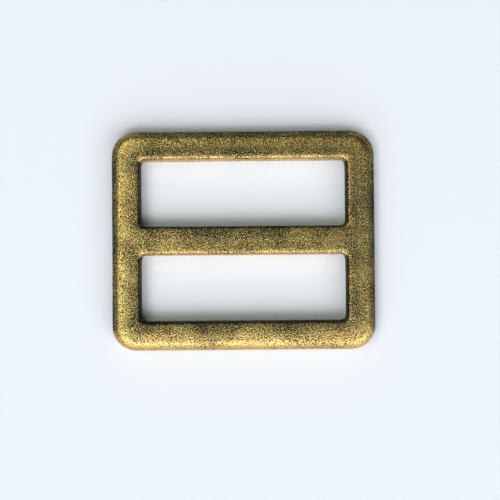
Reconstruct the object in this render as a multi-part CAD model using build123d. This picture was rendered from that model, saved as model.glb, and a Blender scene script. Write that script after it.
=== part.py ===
"""Strap slider (tri-glide) for 25 mm webbing: one zinc die casting, plated antique brass.

The slider is a rounded rectangular frame with a fixed bar across its middle. Frame and bar are cast
together, so the part is one solid. The row frame has X along the bar and across the strap, Y along the
strap, and Z up through the thickness. The origin is the centre of the flat back, which lies on Z = 0.
All sizes are in millimetres.
"""

from build123d import *
import os

# Strap slots: the two windows that the webbing passes through, measured at the back of the casting.
SLOT_LENGTH = 25.4
SLOT_WIDTH = 8.1
SLOT_CORNER_RADIUS = 0.55

# Rails: the two side rails, the two end rails and the bar between the slots.
SIDE_RAIL_WIDTH = 3.65
END_RAIL_WIDTH = 3.7
CENTRE_BAR_WIDTH = 3.65
THICKNESS = 2.5
OUTER_CORNER_RADIUS = 3.0

# Edge roundings of the front (up) and the back (down). The strap runs over the roundings of the slots.
OUTER_FRONT_ROUNDING = 1.2
SLOT_FRONT_ROUNDING = 0.4
BACK_ROUNDING = 0.2
SMALLEST_LAND = 0.15

# Walls lean so that the casting leaves the front half of its die.
DRAFT_ANGLE = 2.0

# Shallow marks that the ejector pins leave on the back, where the rails meet.
EJECTOR_MARK_DIAMETER = 1.8
EJECTOR_MARK_DEPTH = 0.06

# Sizes that follow from the ones above.
BODY_LENGTH = SLOT_LENGTH + 2 * SIDE_RAIL_WIDTH
BODY_WIDTH = 2 * SLOT_WIDTH + 2 * END_RAIL_WIDTH + CENTRE_BAR_WIDTH
SLOT_OFFSET = (CENTRE_BAR_WIDTH + SLOT_WIDTH) / 2
SIDE_RAIL_OFFSET = (SLOT_LENGTH + SIDE_RAIL_WIDTH) / 2
END_RAIL_OFFSET = (BODY_WIDTH - END_RAIL_WIDTH) / 2


def blank():
    """The outer block of the casting, drafted towards its front."""
    outline = RectangleRounded(BODY_LENGTH, BODY_WIDTH, OUTER_CORNER_RADIUS)
    return extrude(outline, amount=THICKNESS, taper=DRAFT_ANGLE)


def slot_cores():
    """The two die cores that leave the strap slots, wider at the front than at the back."""
    outline = RectangleRounded(SLOT_LENGTH, SLOT_WIDTH, SLOT_CORNER_RADIUS)
    core = extrude(outline, amount=THICKNESS, taper=-DRAFT_ANGLE)
    return [Pos(0, side * SLOT_OFFSET, 0) * core for side in (-1, 1)]


def is_outer(edge):
    """True for an edge of the outer wall, and False for one of a slot."""
    centre = edge.center()
    inner_length = SLOT_LENGTH / 2 + SIDE_RAIL_WIDTH / 2
    inner_width = BODY_WIDTH / 2 - END_RAIL_WIDTH / 2
    return abs(centre.X) > inner_length or abs(centre.Y) > inner_width


def rounded(casting):
    """The casting with its front and back edges rounded, each rounding limited by its wall."""
    narrowest = min(SIDE_RAIL_WIDTH, END_RAIL_WIDTH)
    height_left = THICKNESS - BACK_ROUNDING - SMALLEST_LAND
    slot_rounding = min(SLOT_FRONT_ROUNDING, CENTRE_BAR_WIDTH / 2 - SMALLEST_LAND, height_left)
    outer_rounding = min(OUTER_FRONT_ROUNDING, narrowest - slot_rounding - SMALLEST_LAND, height_left)

    front = casting.edges().group_by(Axis.Z)[-1]
    casting = fillet(front.filter_by(is_outer), outer_rounding)
    front = casting.edges().group_by(Axis.Z)[-1]
    front_slots = front.filter_by(lambda edge: not is_outer(edge))
    casting = fillet(front_slots, slot_rounding)
    back = casting.edges().group_by(Axis.Z)[0]
    return fillet(back, BACK_ROUNDING)


def ejector_marks():
    """The round recesses under the four corners and the two ends of the bar."""
    mark = Cylinder(
        EJECTOR_MARK_DIAMETER / 2,
        EJECTOR_MARK_DEPTH,
        align=(Align.CENTER, Align.CENTER, Align.MIN),
    )
    places = [(x, y) for x in (-1, 1) for y in (-1, 0, 1)]
    return [Pos(x * SIDE_RAIL_OFFSET, y * END_RAIL_OFFSET, 0) * mark for x, y in places]


def slider_body():
    """The whole casting: frame and centre bar in one piece."""
    casting = blank() - slot_cores()
    return rounded(casting) - ejector_marks()


os.makedirs("parts", exist_ok=True)
body = slider_body()
body.label = "slider_body"
export_step(body, "parts/slider_body.step")
print(f"slider_body: {len(body.solids())} solid, {body.volume:.1f} mm3, box {body.bounding_box().size}")
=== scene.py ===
# %% [markdown]
# # A strap slider in antique brass
# The part is a strap slider for 25 mm webbing: a flat frame with a bar across its middle. It is cast from
# zinc in one piece, plated with brass, blackened, and tumbled with stones until the brass shows again
# wherever the stones can reach. The CAD model fixes every size. This script gives the casting the skin and
# the finish that those steps leave, and sets it on a pale table in the soft light of a window.

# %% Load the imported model
import math
import random

import bmesh
import bpy
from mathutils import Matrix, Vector, kdtree, noise
from mathutils.geometry import intersect_point_line


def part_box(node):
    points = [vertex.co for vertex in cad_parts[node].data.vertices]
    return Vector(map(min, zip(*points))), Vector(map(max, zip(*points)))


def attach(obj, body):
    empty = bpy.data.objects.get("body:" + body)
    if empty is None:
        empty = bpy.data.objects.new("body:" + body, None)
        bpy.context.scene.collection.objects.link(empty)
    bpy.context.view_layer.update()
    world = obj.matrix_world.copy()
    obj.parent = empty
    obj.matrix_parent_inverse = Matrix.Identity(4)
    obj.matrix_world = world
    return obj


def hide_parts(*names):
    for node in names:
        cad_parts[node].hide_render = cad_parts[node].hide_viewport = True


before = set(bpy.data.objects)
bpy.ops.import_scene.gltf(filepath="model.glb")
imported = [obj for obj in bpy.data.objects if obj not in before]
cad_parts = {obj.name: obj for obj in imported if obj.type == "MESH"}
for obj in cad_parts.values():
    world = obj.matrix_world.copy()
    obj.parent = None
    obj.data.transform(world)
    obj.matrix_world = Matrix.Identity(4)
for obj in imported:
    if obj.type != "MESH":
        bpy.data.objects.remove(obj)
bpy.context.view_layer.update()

MM = 0.001

# %% [markdown]
# ## The camera
# A camera straight above the slider shows its outline without perspective spreading the sides. This one
# hangs 140 mm above the table, a little towards the near side. It tilts back to the slider by a degree and
# turns by half a degree, as a hand-held camera does.

# %% Camera
CAMERA_PLACE = Vector((0.79, -4.17, 140.0)) * MM
CAMERA_TILT = math.radians(1.23)
CAMERA_TURN = math.radians(-0.48)
SENSOR_WIDTH = 36.0    # in mm, as the lens is
LENS = 80.48
NEAREST_SEEN = 1 * MM
FARTHEST_SEEN = 10.0

camera_data = bpy.data.cameras.new("camera")
camera_data.sensor_width = SENSOR_WIDTH
camera_data.lens = LENS
camera_data.clip_start = NEAREST_SEEN
camera_data.clip_end = FARTHEST_SEEN
camera = bpy.data.objects.new("camera", camera_data)
camera.location = CAMERA_PLACE
camera.rotation_euler = (CAMERA_TILT, 0, CAMERA_TURN)
bpy.context.scene.collection.objects.link(camera)
bpy.context.scene.camera = camera
print("the camera sees", round(CAMERA_PLACE.z * SENSOR_WIDTH / LENS / MM, 1), "mm of the table")

# %% [markdown]
# ## The casting's shape
# The slider is a ladder of three columns and five rows of squares with two squares missing. Raising that
# ladder gives a block with two slots. The walls lean by the two degrees that let the casting leave its die,
# the upright corners are rounded, and then the front and back edges. A boolean cut would need the same
# roundings afterwards, and bevels of a plain ladder stay clean.

# %% Sizes of the ladder
low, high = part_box("slider_body")
THICKNESS = high.z - low.z
SLOT_LENGTH = 25.4 * MM
SLOT_WIDTH = 8.1 * MM
BAR_WIDTH = 3.65 * MM
DRAFT = math.radians(2)
LEAN = THICKNESS * math.tan(DRAFT)

slot_end = SLOT_LENGTH / 2
slot_near = BAR_WIDTH / 2
slot_far = slot_near + SLOT_WIDTH
side_rail_middle = (high.x + slot_end) / 2
end_rail_middle = (high.y + slot_far) / 2
columns = [low.x, -slot_end, slot_end, high.x]
rows = [low.y, -slot_far, -slot_near, slot_near, slot_far, high.y]
print("columns in mm:", [round(x / MM, 2) for x in columns])
print("rows in mm:", [round(y / MM, 2) for y in rows])

# %% Flat ladder
def in_slot(point):
    """True where a point is in one of the two slots."""
    return abs(point.x) < slot_end and slot_near < abs(point.y) < slot_far


shape = bmesh.new()
bmesh.ops.create_grid(shape, x_segments=len(columns) - 1, y_segments=len(rows) - 1, size=0.5)
for vert in shape.verts:
    vert.co.x = columns[round((vert.co.x + 0.5) * (len(columns) - 1))]
    vert.co.y = rows[round((vert.co.y + 0.5) * (len(rows) - 1))]
slots = [face for face in shape.faces if in_slot(face.calc_center_median())]
bmesh.ops.delete(shape, geom=slots, context="FACES")
print("flat ladder:", len(shape.faces), "faces, after", len(slots), "were taken out")

# %% Ladder, raised to the casting's thickness
SAME_LINE = 0.5 * MM


def lean(value, lines):
    """How far a wall that starts at this value has moved at the front: outer walls in, slot walls back."""
    outer = abs(value) > max(lines) - SAME_LINE
    beside_bar = abs(abs(value) - slot_near) < SAME_LINE
    return math.copysign(LEAN, value) * (-1 if outer or beside_bar else 1)


raised = bmesh.ops.extrude_face_region(shape, geom=shape.faces[:])["geom"]
front = [item for item in raised if isinstance(item, bmesh.types.BMVert)]
for vert in front:
    vert.co += Vector((lean(vert.co.x, columns), lean(vert.co.y, rows), THICKNESS))
bmesh.ops.recalc_face_normals(shape, faces=shape.faces[:])
print("ladder:", len(shape.faces), "faces,", sum(len(e.link_faces) != 2 for e in shape.edges), "open edges")

# %% Edges to round
SHARP = math.radians(45)
SAME_HEIGHT = 0.01 * MM


def on_outer_wall(edge):
    """True for an edge nearer to the outer wall than to a slot."""
    centre = (edge.verts[0].co + edge.verts[1].co) / 2
    return abs(centre.x) > side_rail_middle or abs(centre.y) > end_rail_middle


def posts(outer):
    """The upright edges at the corners, of the outer wall or of the slots."""
    upright = [e for e in shape.edges if abs(e.verts[0].co.z - e.verts[1].co.z) > THICKNESS / 2]
    return [e for e in upright if e.calc_face_angle(0) > SHARP and on_outer_wall(e) == outer]


def rim(height, outer):
    """The edges between a wall and the face at that height, of the outer wall or of the slots."""
    found = []
    for edge in shape.edges:
        flat = all(abs(vert.co.z - height) < SAME_HEIGHT for vert in edge.verts)
        if flat and edge.calc_face_angle(0) > SHARP and on_outer_wall(edge) == outer:
            found.append(edge)
    return found


print("upright edges:", len(posts(outer=True)), "outside and", len(posts(outer=False)), "in the slots")

# %% Roundings
OUTER_CORNER = 3.0 * MM
SLOT_CORNER = 0.55 * MM
OUTER_ROUNDING = 1.2 * MM
SLOT_ROUNDING = 0.4 * MM
BACK_ROUNDING = 0.2 * MM


def bevel(edges, radius, segments):
    """Rounds the edges to a true arc."""
    bmesh.ops.bevel(
        shape, geom=edges, offset=radius, segments=segments,
        profile=0.5, affect="EDGES", material=-1,
    )


bevel(posts(outer=True), OUTER_CORNER, segments=18)
bevel(posts(outer=False), SLOT_CORNER, segments=8)
bevel(rim(THICKNESS, outer=True), OUTER_ROUNDING, segments=12)
bevel(rim(THICKNESS, outer=False), SLOT_ROUNDING, segments=10)
bevel(rim(0, outer=True) + rim(0, outer=False), BACK_ROUNDING, segments=5)
print("rounded casting:", len(shape.faces), "faces")

# %% [markdown]
# ## A skin of even squares
# The waves and nicks of a casting need points all over, closer together than the marks are wide. A voxel
# remesh gives them: it lays an even net of squares over the whole skin, whatever faces are under it. It
# leaves tiny steps, which are smoothed away once the crown and the ejector marks are in.

# %% Remesh
NET = 0.137 * MM

skin_mesh = bpy.data.meshes.new("slider_skin")
shape.to_mesh(skin_mesh)
shape.free()
skin = bpy.data.objects.new("slider_skin", skin_mesh)
bpy.context.scene.collection.objects.link(skin)
remesh = skin.modifiers.new("net", "REMESH")
remesh.mode = "VOXEL"
remesh.voxel_size = NET
remesh.adaptivity = 0
remeshed = bpy.data.meshes.new_from_object(skin.evaluated_get(bpy.context.evaluated_depsgraph_get()))
skin.modifiers.clear()
skin.data = remeshed
bpy.data.meshes.remove(skin_mesh)
skin.data.name = "slider_skin"
print("net:", len(skin.data.polygons), "squares")

# %% [markdown]
# ## Crown
# The front of each rail isn't flat: it falls away towards the outer wall, and slightly towards the slots,
# so webbing slides over it without catching. The crown is a move of the net's points, worked out from the
# distance to a wall, because a bevel only rounds the last millimetre. It fades out towards the back, which
# stays flat on the table.

# %% Distances to the walls
def to_wall(point):
    """Distance from a point of the front to the outer wall, seen from the front."""
    x = abs(point.x) - high.x + OUTER_CORNER
    y = abs(point.y) - high.y + OUTER_CORNER
    return OUTER_CORNER - math.hypot(max(x, 0), max(y, 0)) - min(max(x, y), 0)


def to_slot(point):
    """Distance from a point of the front to the nearer slot, seen from the front."""
    x = abs(point.x) - slot_end
    y = max(slot_near - abs(point.y), abs(point.y) - slot_far)
    return math.hypot(max(x, 0), max(y, 0))


rail_middle = Vector((side_rail_middle, 0, 0))
to_both = [round(distance / MM, 2) for distance in (to_wall(rail_middle), to_slot(rail_middle))]
print("the middle of a side rail is", to_both[0], "mm from the wall and", to_both[1], "mm from the slots")

# %% Crown
DOUBLES = 0.001 * MM
WALL_CROWN = 0.20 * MM
WALL_CROWN_REACH = 3.4 * MM
SLOT_CROWN = 0.06 * MM
SLOT_CROWN_REACH = 1.0 * MM

net = bmesh.new()
net.from_mesh(skin.data)
bmesh.ops.remove_doubles(net, verts=net.verts[:], dist=DOUBLES)
for vert in net.verts:
    drop = WALL_CROWN * (1 - min(to_wall(vert.co) / WALL_CROWN_REACH, 1)) ** 2
    drop += SLOT_CROWN * (1 - min(to_slot(vert.co) / SLOT_CROWN_REACH, 1)) ** 2
    vert.co.z -= drop * vert.co.z / THICKNESS
print("highest point of the front:", round(max(vert.co.z for vert in net.verts) / MM, 3), "mm")

# %% [markdown]
# ## Ejector marks
# The pins that push the casting out of its die leave six shallow round marks in the back, where the rails
# meet. Lifting the net's points inside each circle is enough for a mark that is about as deep as a hair is
# thick. Smoothing then rounds the marks' edges, and takes the net's own steps away.

# %% Ejector marks and smoothing
MARK_RADIUS = 0.9 * MM
MARK_DEPTH = 0.06 * MM
MARK_X = side_rail_middle
MARK_YS = (0, end_rail_middle)
SMOOTHING = 5

for vert in net.verts:
    sunk = min((abs(vert.co.x) - MARK_X) ** 2 + (abs(vert.co.y) - y) ** 2 for y in MARK_YS) < MARK_RADIUS**2
    if sunk and vert.co.z < MARK_DEPTH:
        vert.co.z += MARK_DEPTH
for _ in range(SMOOTHING):
    bmesh.ops.smooth_vert(
        net, verts=net.verts[:], factor=0.5, use_axis_x=True, use_axis_y=True, use_axis_z=True,
    )
bmesh.ops.recalc_face_normals(net, faces=net.faces[:])
net.normal_update()
print("smoothed net:", round(max(vert.co.z for vert in net.verts) / MM, 3), "mm high")

# %% [markdown]
# ## Waves, trimmed rims, a dent, a scratch and nicks
# Zinc shrinks as it sets, so no face is quite even. The flash in the slots is trimmed off, which leaves
# their rims a little rough, and the tumbling stones leave a fine orange peel. Handling adds small nicks,
# here with one ring-shaped dent by a corner and one short scratch on the bar. Each is a small move of the
# skin along its normal, so it is in the mesh itself, as a bump in the material wouldn't be.

# %% Waves and marks
WAVES = [(6.0, 0.020), (2.2, 0.008), (0.8, 0.005), (0.42, 0.003)]    # length and height in mm
WAVE_SHIFT = Vector((17.3, 5.1, 9.7))    # sets each kind of wave apart from the others
TRIM_HEIGHT = 0.012 * MM
TRIM_LENGTH = 0.6 * MM
TRIM_WIDTH = 0.6 * MM
DENT_PLACE = Vector((-14.4, 10.1)) * MM
DENT_RADIUS = 0.33 * MM
DENT_WIDTH = 0.13 * MM
DENT_DEPTH = 0.025 * MM
SCRATCH = (Vector((-4.1, -1.2)) * MM, Vector((-1.4, -0.3)) * MM)
SCRATCH_WIDTH = 0.14 * MM
SCRATCH_DEPTH = 0.010 * MM


def dip(distance, width):
    """1 in the middle of a mark, falling smoothly to nothing at about twice its width."""
    return math.exp(-(distance / width) ** 2)


def to_scratch(place):
    """Distance from a place on the front to the scratch."""
    along = intersect_point_line(place, *SCRATCH)[1]
    return (place - SCRATCH[0].lerp(SCRATCH[1], max(0, min(1, along)))).length


moves = []
for vert in net.verts:
    move = TRIM_HEIGHT * noise.noise(vert.co / TRIM_LENGTH) * dip(to_slot(vert.co), TRIM_WIDTH)
    for number, (length, height) in enumerate(WAVES, start=1):
        move += height * MM * noise.noise(vert.co / (length * MM) + WAVE_SHIFT * number)
    if vert.co.z > THICKNESS / 2:
        move -= SCRATCH_DEPTH * dip(to_scratch(vert.co.xy), SCRATCH_WIDTH)
        move -= DENT_DEPTH * dip((vert.co.xy - DENT_PLACE).length - DENT_RADIUS, DENT_WIDTH)
    moves.append(move)
print("waves and marks move the skin by", round(min(moves) / MM, 3), "to", round(max(moves) / MM, 3), "mm")

# %% Nicks
NICKS = 45
NICK_SEED = 11
NICK_RADIUS = (0.15, 0.4)    # smallest and largest, in mm
NICK_DEPTH = (0.006, 0.020)

finder = kdtree.KDTree(len(net.verts))
for index, vert in enumerate(net.verts):
    finder.insert(vert.co, index)
finder.balance()
net.verts.ensure_lookup_table()
dice = random.Random(NICK_SEED)
for _ in range(NICKS):
    centre = net.verts[dice.randrange(len(net.verts))].co
    radius = dice.uniform(*NICK_RADIUS) * MM
    depth = dice.uniform(*NICK_DEPTH) * MM
    for _, index, distance in finder.find_range(centre, radius):
        moves[index] -= depth * (0.5 + 0.5 * math.cos(math.pi * distance / radius))
print("with nicks it moves by", round(min(moves) / MM, 3), "to", round(max(moves) / MM, 3), "mm")

# %% Move the skin, and keep it inside the CAD box
for vert, move in zip(net.verts, moves):
    vert.co += vert.normal * move
    vert.co = Vector(max(least, min(most, value)) for least, most, value in zip(low, high, vert.co))
heights = [vert.co.z / MM for vert in net.verts]
print("the skin is from", round(min(heights), 3), "to", round(max(heights), 3), "mm high")

# %% [markdown]
# ## Where the stones and the strap reach
# Tumbling doesn't reach every place alike: the outer ridge and above all the corners are hit hardest. A
# darker band runs round each slot. On the rims that face the near side, where the window is, and on that
# half of the bar, the band is taken away again, which paints a highlight there. The amount is stored at
# each point of the mesh as an attribute that the material reads. It follows the slots and the corners,
# which a noise can't, and a painted image would need a file.

# %% Darker band beside the slots, and a painted highlight on rims that face the window
SLOT_BAND_DARKNESS = 0.065
SLOT_BAND_WIDTH = 1.2 * MM
SLOT_BAND_FADE = 0.6 * MM
SLOT_BAND_AT_ENDS = 0.65
LIT_RIM_ON_BAR = 1.2 * MM
LIT_RIM_ON_RAIL = 0.3 * MM
LIT_RIM_FADE = 0.5 * MM


def fade(distance, width, length):
    """1 up to the width, then falling to 0 over the length."""
    return max(0, min(1, (width + length - distance) / length))


def slot_band(point):
    """How much darker a point beside a slot is made, less near rims facing the window: a painted highlight.
    """
    across = abs(point.y) - (slot_near + slot_far) / 2
    x = max(abs(point.x) - slot_end, 0)
    y = max(abs(across) - SLOT_WIDTH / 2, 0)
    distance = math.hypot(x, y)
    if distance == 0:
        return 0
    wall_faces_window = y / distance * (1 if across * point.y > 0 else -1)    # 1 where the slot's wall faces -Y
    least = SLOT_BAND_AT_ENDS
    band = fade(distance, SLOT_BAND_WIDTH, SLOT_BAND_FADE) * (least + (1 - least) * abs(wall_faces_window))
    # Near the rims that face the window the band is taken away again, which paints a highlight there.
    lit_rim = LIT_RIM_ON_BAR if abs(point.y) < slot_near else LIT_RIM_ON_RAIL
    return band * (1 - fade(distance, lit_rim, LIT_RIM_FADE) * max(0, wall_faces_window))


print("sheltered points:", sum(slot_band(vert.co) > 0 for vert in net.verts))

# %% Ridge and corners
RIDGE_WEAR = 0.025
RIDGE_WIDTH = 1.3 * MM
RIDGE_FADE = 1.0 * MM
CORNER_WEAR = 0.06
CORNER_WIDTH = 2.0 * MM
CORNER_FADE = 3.0 * MM


def ridge(point):
    """1 along the outer ridge, falling to 0 towards the slots."""
    return fade(to_wall(point), RIDGE_WIDTH, RIDGE_FADE)


def corner(point):
    """1 at an outer corner of the frame, falling to 0 along the rails."""
    along_x = fade(high.x - abs(point.x), CORNER_WIDTH, CORNER_FADE)
    along_y = fade(high.y - abs(point.y), CORNER_WIDTH, CORNER_FADE)
    return along_x * along_y


wear_band_and_sheen = net.verts.layers.float.new("wear_band_and_sheen")
for vert in net.verts:
    # Wear on the corners and the ridge, less the darker band, which leaves the painted rim highlight.
    vert[wear_band_and_sheen] = CORNER_WEAR * corner(vert.co) + RIDGE_WEAR * ridge(vert.co) - SLOT_BAND_DARKNESS * slot_band(vert.co)
amounts = [vert[wear_band_and_sheen] for vert in net.verts]
print("wear from", round(min(amounts), 3), "to", round(max(amounts), 3))

# %% The finished skin
open_edges = sum(len(edge.link_faces) != 2 for edge in net.edges)
triangles = sum(len(face.verts) - 2 for face in net.faces)
volume = round(net.calc_volume() / MM**3, 1)
print("skin:", triangles, "triangles,", open_edges, "open edges, volume", volume, "mm3")
net.to_mesh(skin.data)
net.free()
skin.data.shade_smooth()
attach(skin, "root")
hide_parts("slider_body")

# %% [markdown]
# ## Antique brass
# The finish is a brass plate a few thousandths of a millimetre thick, blackened in a bath and then tumbled
# with stones. Tumbling polishes the tops of the grain and leaves the matt black in its pits, so the eye
# sees a fine speckle of gold and near-black. The material is one metal whose colour and roughness go
# together: where the grain shines it is polished brass, and where it doesn't it is rough and dark. Mixing
# two shaders would do the same, but one shader keeps the grain, the colour and the gloss in step.

# %% Colours and nodes
def linear(colour):
    """A hex sRGB colour as the linear values that shaders take."""
    channels = [int(colour[i:i + 2], 16) / 255 for i in (1, 3, 5)]
    return [c / 12.92 if c <= 0.04045 else ((c + 0.055) / 1.055) ** 2.4 for c in channels] + [1]


def add(tree, kind, inputs, **settings):
    """Adds a node: settings are its own, and each input takes a value or the socket that feeds it."""
    new = tree.nodes.new(kind)
    for name, value in settings.items():
        setattr(new, name, value)
    for name, value in inputs.items():
        if isinstance(value, bpy.types.NodeSocket):
            tree.links.new(value, new.inputs[name])
        else:
            new.inputs[name].default_value = value
    return new


def per_mm(length):
    """The scale of a noise whose lumps are about this many millimetres long, on coordinates in metres."""
    return 1 / (length * MM)


print("a grey of #808080 is", round(linear("#808080")[0], 3), "to a shader")

# %% [markdown]
# Three noises make the pattern. The grain of such a casting is 0.05 to 0.1 mm. That is finer than the
# render can show, so it is drawn 0.13 mm long. Clouds of a few millimetres come from the bath, and so does
# a slow change of the brass from olive to warm.

# %% Grain, clouds and tint
GRAIN = 0.13
CLOUD = 3.5
TINT = 2.6

brass = bpy.data.materials.new("antique_brass_plate")
brass.use_nodes = True
tree = brass.node_tree
place = add(tree, "ShaderNodeTexCoord", {}).outputs["Object"]
grain = add(
    tree, "ShaderNodeTexNoise",
    {"Vector": place, "Scale": per_mm(GRAIN), "Detail": 1.0, "Roughness": 0.5},
).outputs["Fac"]
cloud = add(
    tree, "ShaderNodeTexNoise",
    {"Vector": place, "Scale": per_mm(CLOUD), "Detail": 4.0, "Roughness": 0.6},
).outputs["Fac"]
tint = add(
    tree, "ShaderNodeTexNoise",
    {"Vector": place, "Scale": per_mm(TINT), "Detail": 1.0, "Roughness": 0.5},
).outputs["Fac"]
print("noise scales per metre:", [round(per_mm(length)) for length in (GRAIN, CLOUD, TINT)])

# %% [markdown]
# Steep walls stay blacker, partly as patina and partly as painted shade, apart from those that face the
# near side, where the window is, which are left bright as painted light. How steep a place is comes from
# its
# normal: Z is 1 on a flat face and 0 on an upright wall. The sum of all this, with the stored wear and a
# painted highlight on slopes that face the window, sets how bare the brass is.

# %% Patina and painted shade on steep walls, painted light on those that face the window
# The near side, where the window is: walls that face it are spared the black, and slopes that face it get a
# painted highlight.
WINDOW_SIDE = (0, -1, 0)
WINDOW_SHEEN = 0.08
FLAT = 0.92
STEEP = 0.58
STEEP_PATINA_AND_SHADE = 0.18

normal = add(tree, "ShaderNodeNewGeometry", {}).outputs["Normal"]
upward = add(tree, "ShaderNodeSeparateXYZ", {"Vector": normal}).outputs["Z"]
flatness = add(tree, "ShaderNodeMath", {0: upward}, operation="ABSOLUTE").outputs[0]
window_facing = add(
    tree, "ShaderNodeVectorMath", {0: normal, 1: WINDOW_SIDE}, operation="DOT_PRODUCT",
).outputs["Value"]
faces_window = add(tree, "ShaderNodeMath", {0: window_facing, 1: 0.0}, operation="MAXIMUM").outputs[0]
flat_or_lit = add(tree, "ShaderNodeMath", {0: flatness, 1: faces_window}, operation="ADD").outputs[0]
# Steep walls are darkened, partly as patina and partly as painted shade on the walls that face away from
# the window.
patina_and_shade = add(
    tree, "ShaderNodeMapRange",
    {"Value": flat_or_lit, "From Min": FLAT, "From Max": STEEP, "To Min": 0.0, "To Max": -STEEP_PATINA_AND_SHADE},
    interpolation_type="SMOOTHSTEP",
).outputs["Result"]
stored_wear_and_sheen = add(tree, "ShaderNodeAttribute", {}, attribute_name="wear_band_and_sheen").outputs["Fac"]
# A painted highlight on slopes that face the window, added to the stored wear with its painted rim
# highlight.
faces_window_squared = add(tree, "ShaderNodeMath", {0: faces_window, 1: 2.0}, operation="POWER").outputs[0]
sheen_and_wear = add(
    tree, "ShaderNodeMath", {0: faces_window_squared, 1: WINDOW_SHEEN, 2: stored_wear_and_sheen}, operation="MULTIPLY_ADD",
).outputs[0]
reach_and_painted_light = add(tree, "ShaderNodeMath", {0: patina_and_shade, 1: sheen_and_wear}, operation="ADD").outputs[0]
print("antique brass so far:", len(tree.nodes), "nodes")

# %% [markdown]
# Where grain, clouds, wear and the painted light and shade add up to little, the patina is whole, and where
# they add up to much, the brass is bare. The range between is narrow, so the speckle has clear edges. The
# two brass colours are close together, because a wider pair would look like two metals, and the warmer one
# is painted on the side that faces the window, as the tone of its light.

# %% Patina and brass
WARM_BRASS = "#E5BF78"
OLIVE_BRASS = "#DFC87C"
PATINA = "#292A29"
CLOUD_SHARE = 0.35
PATINA_BELOW = 0.57
BRASS_ABOVE = 0.80
WINDOW_WARMTH = 0.8
OLIVE_BELOW = 0.40
WARM_ABOVE = 0.74

# Grain and clouds, with the wear and the painted light and shade, decide where the brass is bare.
clouded = add(
    tree, "ShaderNodeMath", {0: cloud, 1: CLOUD_SHARE, 2: reach_and_painted_light}, operation="MULTIPLY_ADD",
).outputs[0]
worn_and_painted_light = add(tree, "ShaderNodeMath", {0: grain, 1: clouded}, operation="ADD").outputs[0]
shine = add(
    tree, "ShaderNodeMapRange", {"Value": worn_and_painted_light, "From Min": PATINA_BELOW, "From Max": BRASS_ABOVE},
).outputs["Result"]
# The brass is warmer on the side that faces the window, a painted tone of its light. The tint noise is the
# brass's own change of colour.
tint_and_window_warmth = add(
    tree, "ShaderNodeMath", {0: faces_window, 1: WINDOW_WARMTH, 2: tint}, operation="MULTIPLY_ADD",
).outputs[0]
warmth = add(
    tree, "ShaderNodeMapRange", {"Value": tint_and_window_warmth, "From Min": OLIVE_BELOW, "From Max": WARM_ABOVE},
).outputs["Result"]
gold = add(
    tree, "ShaderNodeMix", {0: warmth, 6: linear(OLIVE_BRASS), 7: linear(WARM_BRASS)}, data_type="RGBA",
).outputs[2]
colour = add(tree, "ShaderNodeMix", {0: shine, 6: linear(PATINA), 7: gold}, data_type="RGBA").outputs[2]
print("antique brass so far:", len(tree.nodes), "nodes")

# %% [markdown]
# Bare brass is polished and the patina is matt. Upright walls are rougher still, because the stones only
# scuff them. The same grain also gives the bump, so that a bright speck is also a raised one.

# %% Roughness, bump and shader
BRASS_ROUGHNESS = 0.19
PATINA_ROUGHNESS = 0.55
WALL_ROUGHNESS = 0.15
WALL_STARTS = 0.75
WALL_FULL = 0.25
GRAIN_DEPTH = 0.055 * MM

polish = add(
    tree, "ShaderNodeMapRange", {"Value": shine, "To Min": PATINA_ROUGHNESS, "To Max": BRASS_ROUGHNESS},
).outputs["Result"]
scuffed = add(
    tree, "ShaderNodeMapRange",
    {
        "Value": flatness, "From Min": WALL_STARTS, "From Max": WALL_FULL,
        "To Min": 0.0, "To Max": WALL_ROUGHNESS,
    },
).outputs["Result"]
roughness = add(tree, "ShaderNodeMath", {0: polish, 1: scuffed}, operation="ADD").outputs[0]
bump = add(
    tree, "ShaderNodeBump", {"Height": grain, "Distance": GRAIN_DEPTH, "Strength": 1.0},
).outputs["Normal"]
shader = tree.nodes["Principled BSDF"]
tree.links.new(colour, shader.inputs["Base Color"])
tree.links.new(roughness, shader.inputs["Roughness"])
tree.links.new(bump, shader.inputs["Normal"])
shader.inputs["Metallic"].default_value = 1
skin.data.materials.append(brass)
print("antique brass:", len(tree.nodes), "nodes")

# %% [markdown]
# ## The table
# The table is matt paper, a little blue against the warm brass, and large enough to fill every view. A
# plane is enough for it, because only its colour and the slider's shadow are seen.

# %% Table
TABLE_HALF = 3.0
PAPER = "#EDF1FB"
PAPER_ROUGHNESS = 0.8
PAPER_GLOSS = 0.2

table_mesh = bpy.data.meshes.new("table")
table_shape = bmesh.new()
bmesh.ops.create_grid(table_shape, x_segments=1, y_segments=1, size=TABLE_HALF)
table_shape.to_mesh(table_mesh)
table_shape.free()
table = bpy.data.objects.new("table", table_mesh)
bpy.context.scene.collection.objects.link(table)
paper = bpy.data.materials.new("matt_paper")
paper.use_nodes = True
paper_shader = paper.node_tree.nodes["Principled BSDF"]
paper_shader.inputs["Base Color"].default_value = linear(PAPER)
paper_shader.inputs["Roughness"].default_value = PAPER_ROUGHNESS
paper_shader.inputs["Specular IOR Level"].default_value = PAPER_GLOSS
table_mesh.materials.append(paper)
print("table:", 2 * TABLE_HALF, "m square")

# %% [markdown]
# ## The light
# Metal shows the room more than itself. The room has a wide window on the near side, light walls to the
# right and left of it and behind on the left, and nothing bright straight overhead. So the flat faces,
# which mirror what is overhead, stay dark, and the roundings that face the window shine. One big lamp would
# light every rounding alike. Several soft lamps, each standing for one part of the window or the walls,
# give each rounding its own brightness.

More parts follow.
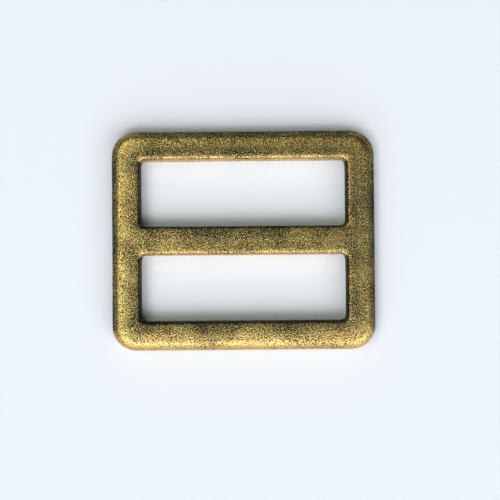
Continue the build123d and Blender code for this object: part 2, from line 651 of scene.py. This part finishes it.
# %% Lamps
# Each lamp: which way round it stands (0 is +X, 90 is +Y), how high it stands, how wide and how tall it
# looks from the slider, all in degrees, how bright it is against lit white paper, and its colour.
LAMP_DISTANCE = 2.0
LAMPS = {
    "window_low": (270, 12, 100, 22, 1.1, "#F0F6FF"),
    "window_middle": (265, 33, 90, 24, 2.1, "#F4F7FF"),
    "window_high": (270, 54, 50, 18, 2.2, "#FFFFFC"),
    "window_top": (275, 66, 60, 14, 1.1, "#FFFCF6"),
    "side_middle": (325, 33, 32, 24, 3.0, "#FEFFF4"),
    "side_high": (322, 55, 40, 20, 1.0, "#DCE8FF"),
    "left_high": (220, 54, 46, 22, 2.9, "#FFFFFF"),
    "back_left": (135, 50, 42, 22, 0.4, "#FBFFE8"),
    "back_high": (135, 62, 42, 18, 2.4, "#FBFFE8"),
}
for name, (turn, height, wide, tall, brightness, tone) in LAMPS.items():
    lamp_data = bpy.data.lights.new(name, "AREA")
    lamp_data.shape = "RECTANGLE"
    lamp_data.size = 2 * LAMP_DISTANCE * math.tan(math.radians(wide / 2))
    lamp_data.size_y = 2 * LAMP_DISTANCE * math.tan(math.radians(tall / 2))
    lamp_data.energy = brightness * math.pi * lamp_data.size * lamp_data.size_y
    lamp_data.color = linear(tone)[:3]
    lamp = bpy.data.objects.new(name, lamp_data)
    turn, height = math.radians(turn), math.radians(height)
    away = Vector((math.cos(turn) * math.cos(height), math.sin(turn) * math.cos(height), math.sin(height)))
    lamp.location = away * LAMP_DISTANCE
    lamp.rotation_euler = away.to_track_quat("Z", "Y").to_euler()
    bpy.context.scene.collection.objects.link(lamp)
print("lamps:", len(LAMPS))

# %% [markdown]
# The rest of the room gives a little light from all round, so that no shadow is quite black. A world of one
# dim colour is enough for that.

# %% World
ROOM = "#F0FFE8"
ROOM_STRENGTH = 0.04

world = bpy.data.worlds.new("room")
bpy.context.scene.world = world
world.use_nodes = True
world.node_tree.nodes["Background"].inputs["Color"].default_value = linear(ROOM)
world.node_tree.nodes["Background"].inputs["Strength"].default_value = ROOM_STRENGTH
bpy.context.scene.view_settings.view_transform = "Standard"
print("room light:", ROOM, "at", ROOM_STRENGTH)

# %% [markdown]
# ## Sizes
# The skin has to stay inside the CAD box, and each of its points was kept inside it when the skin was
# moved.
# At the end the scene is brought up to date.

bpy.context.view_layer.update()
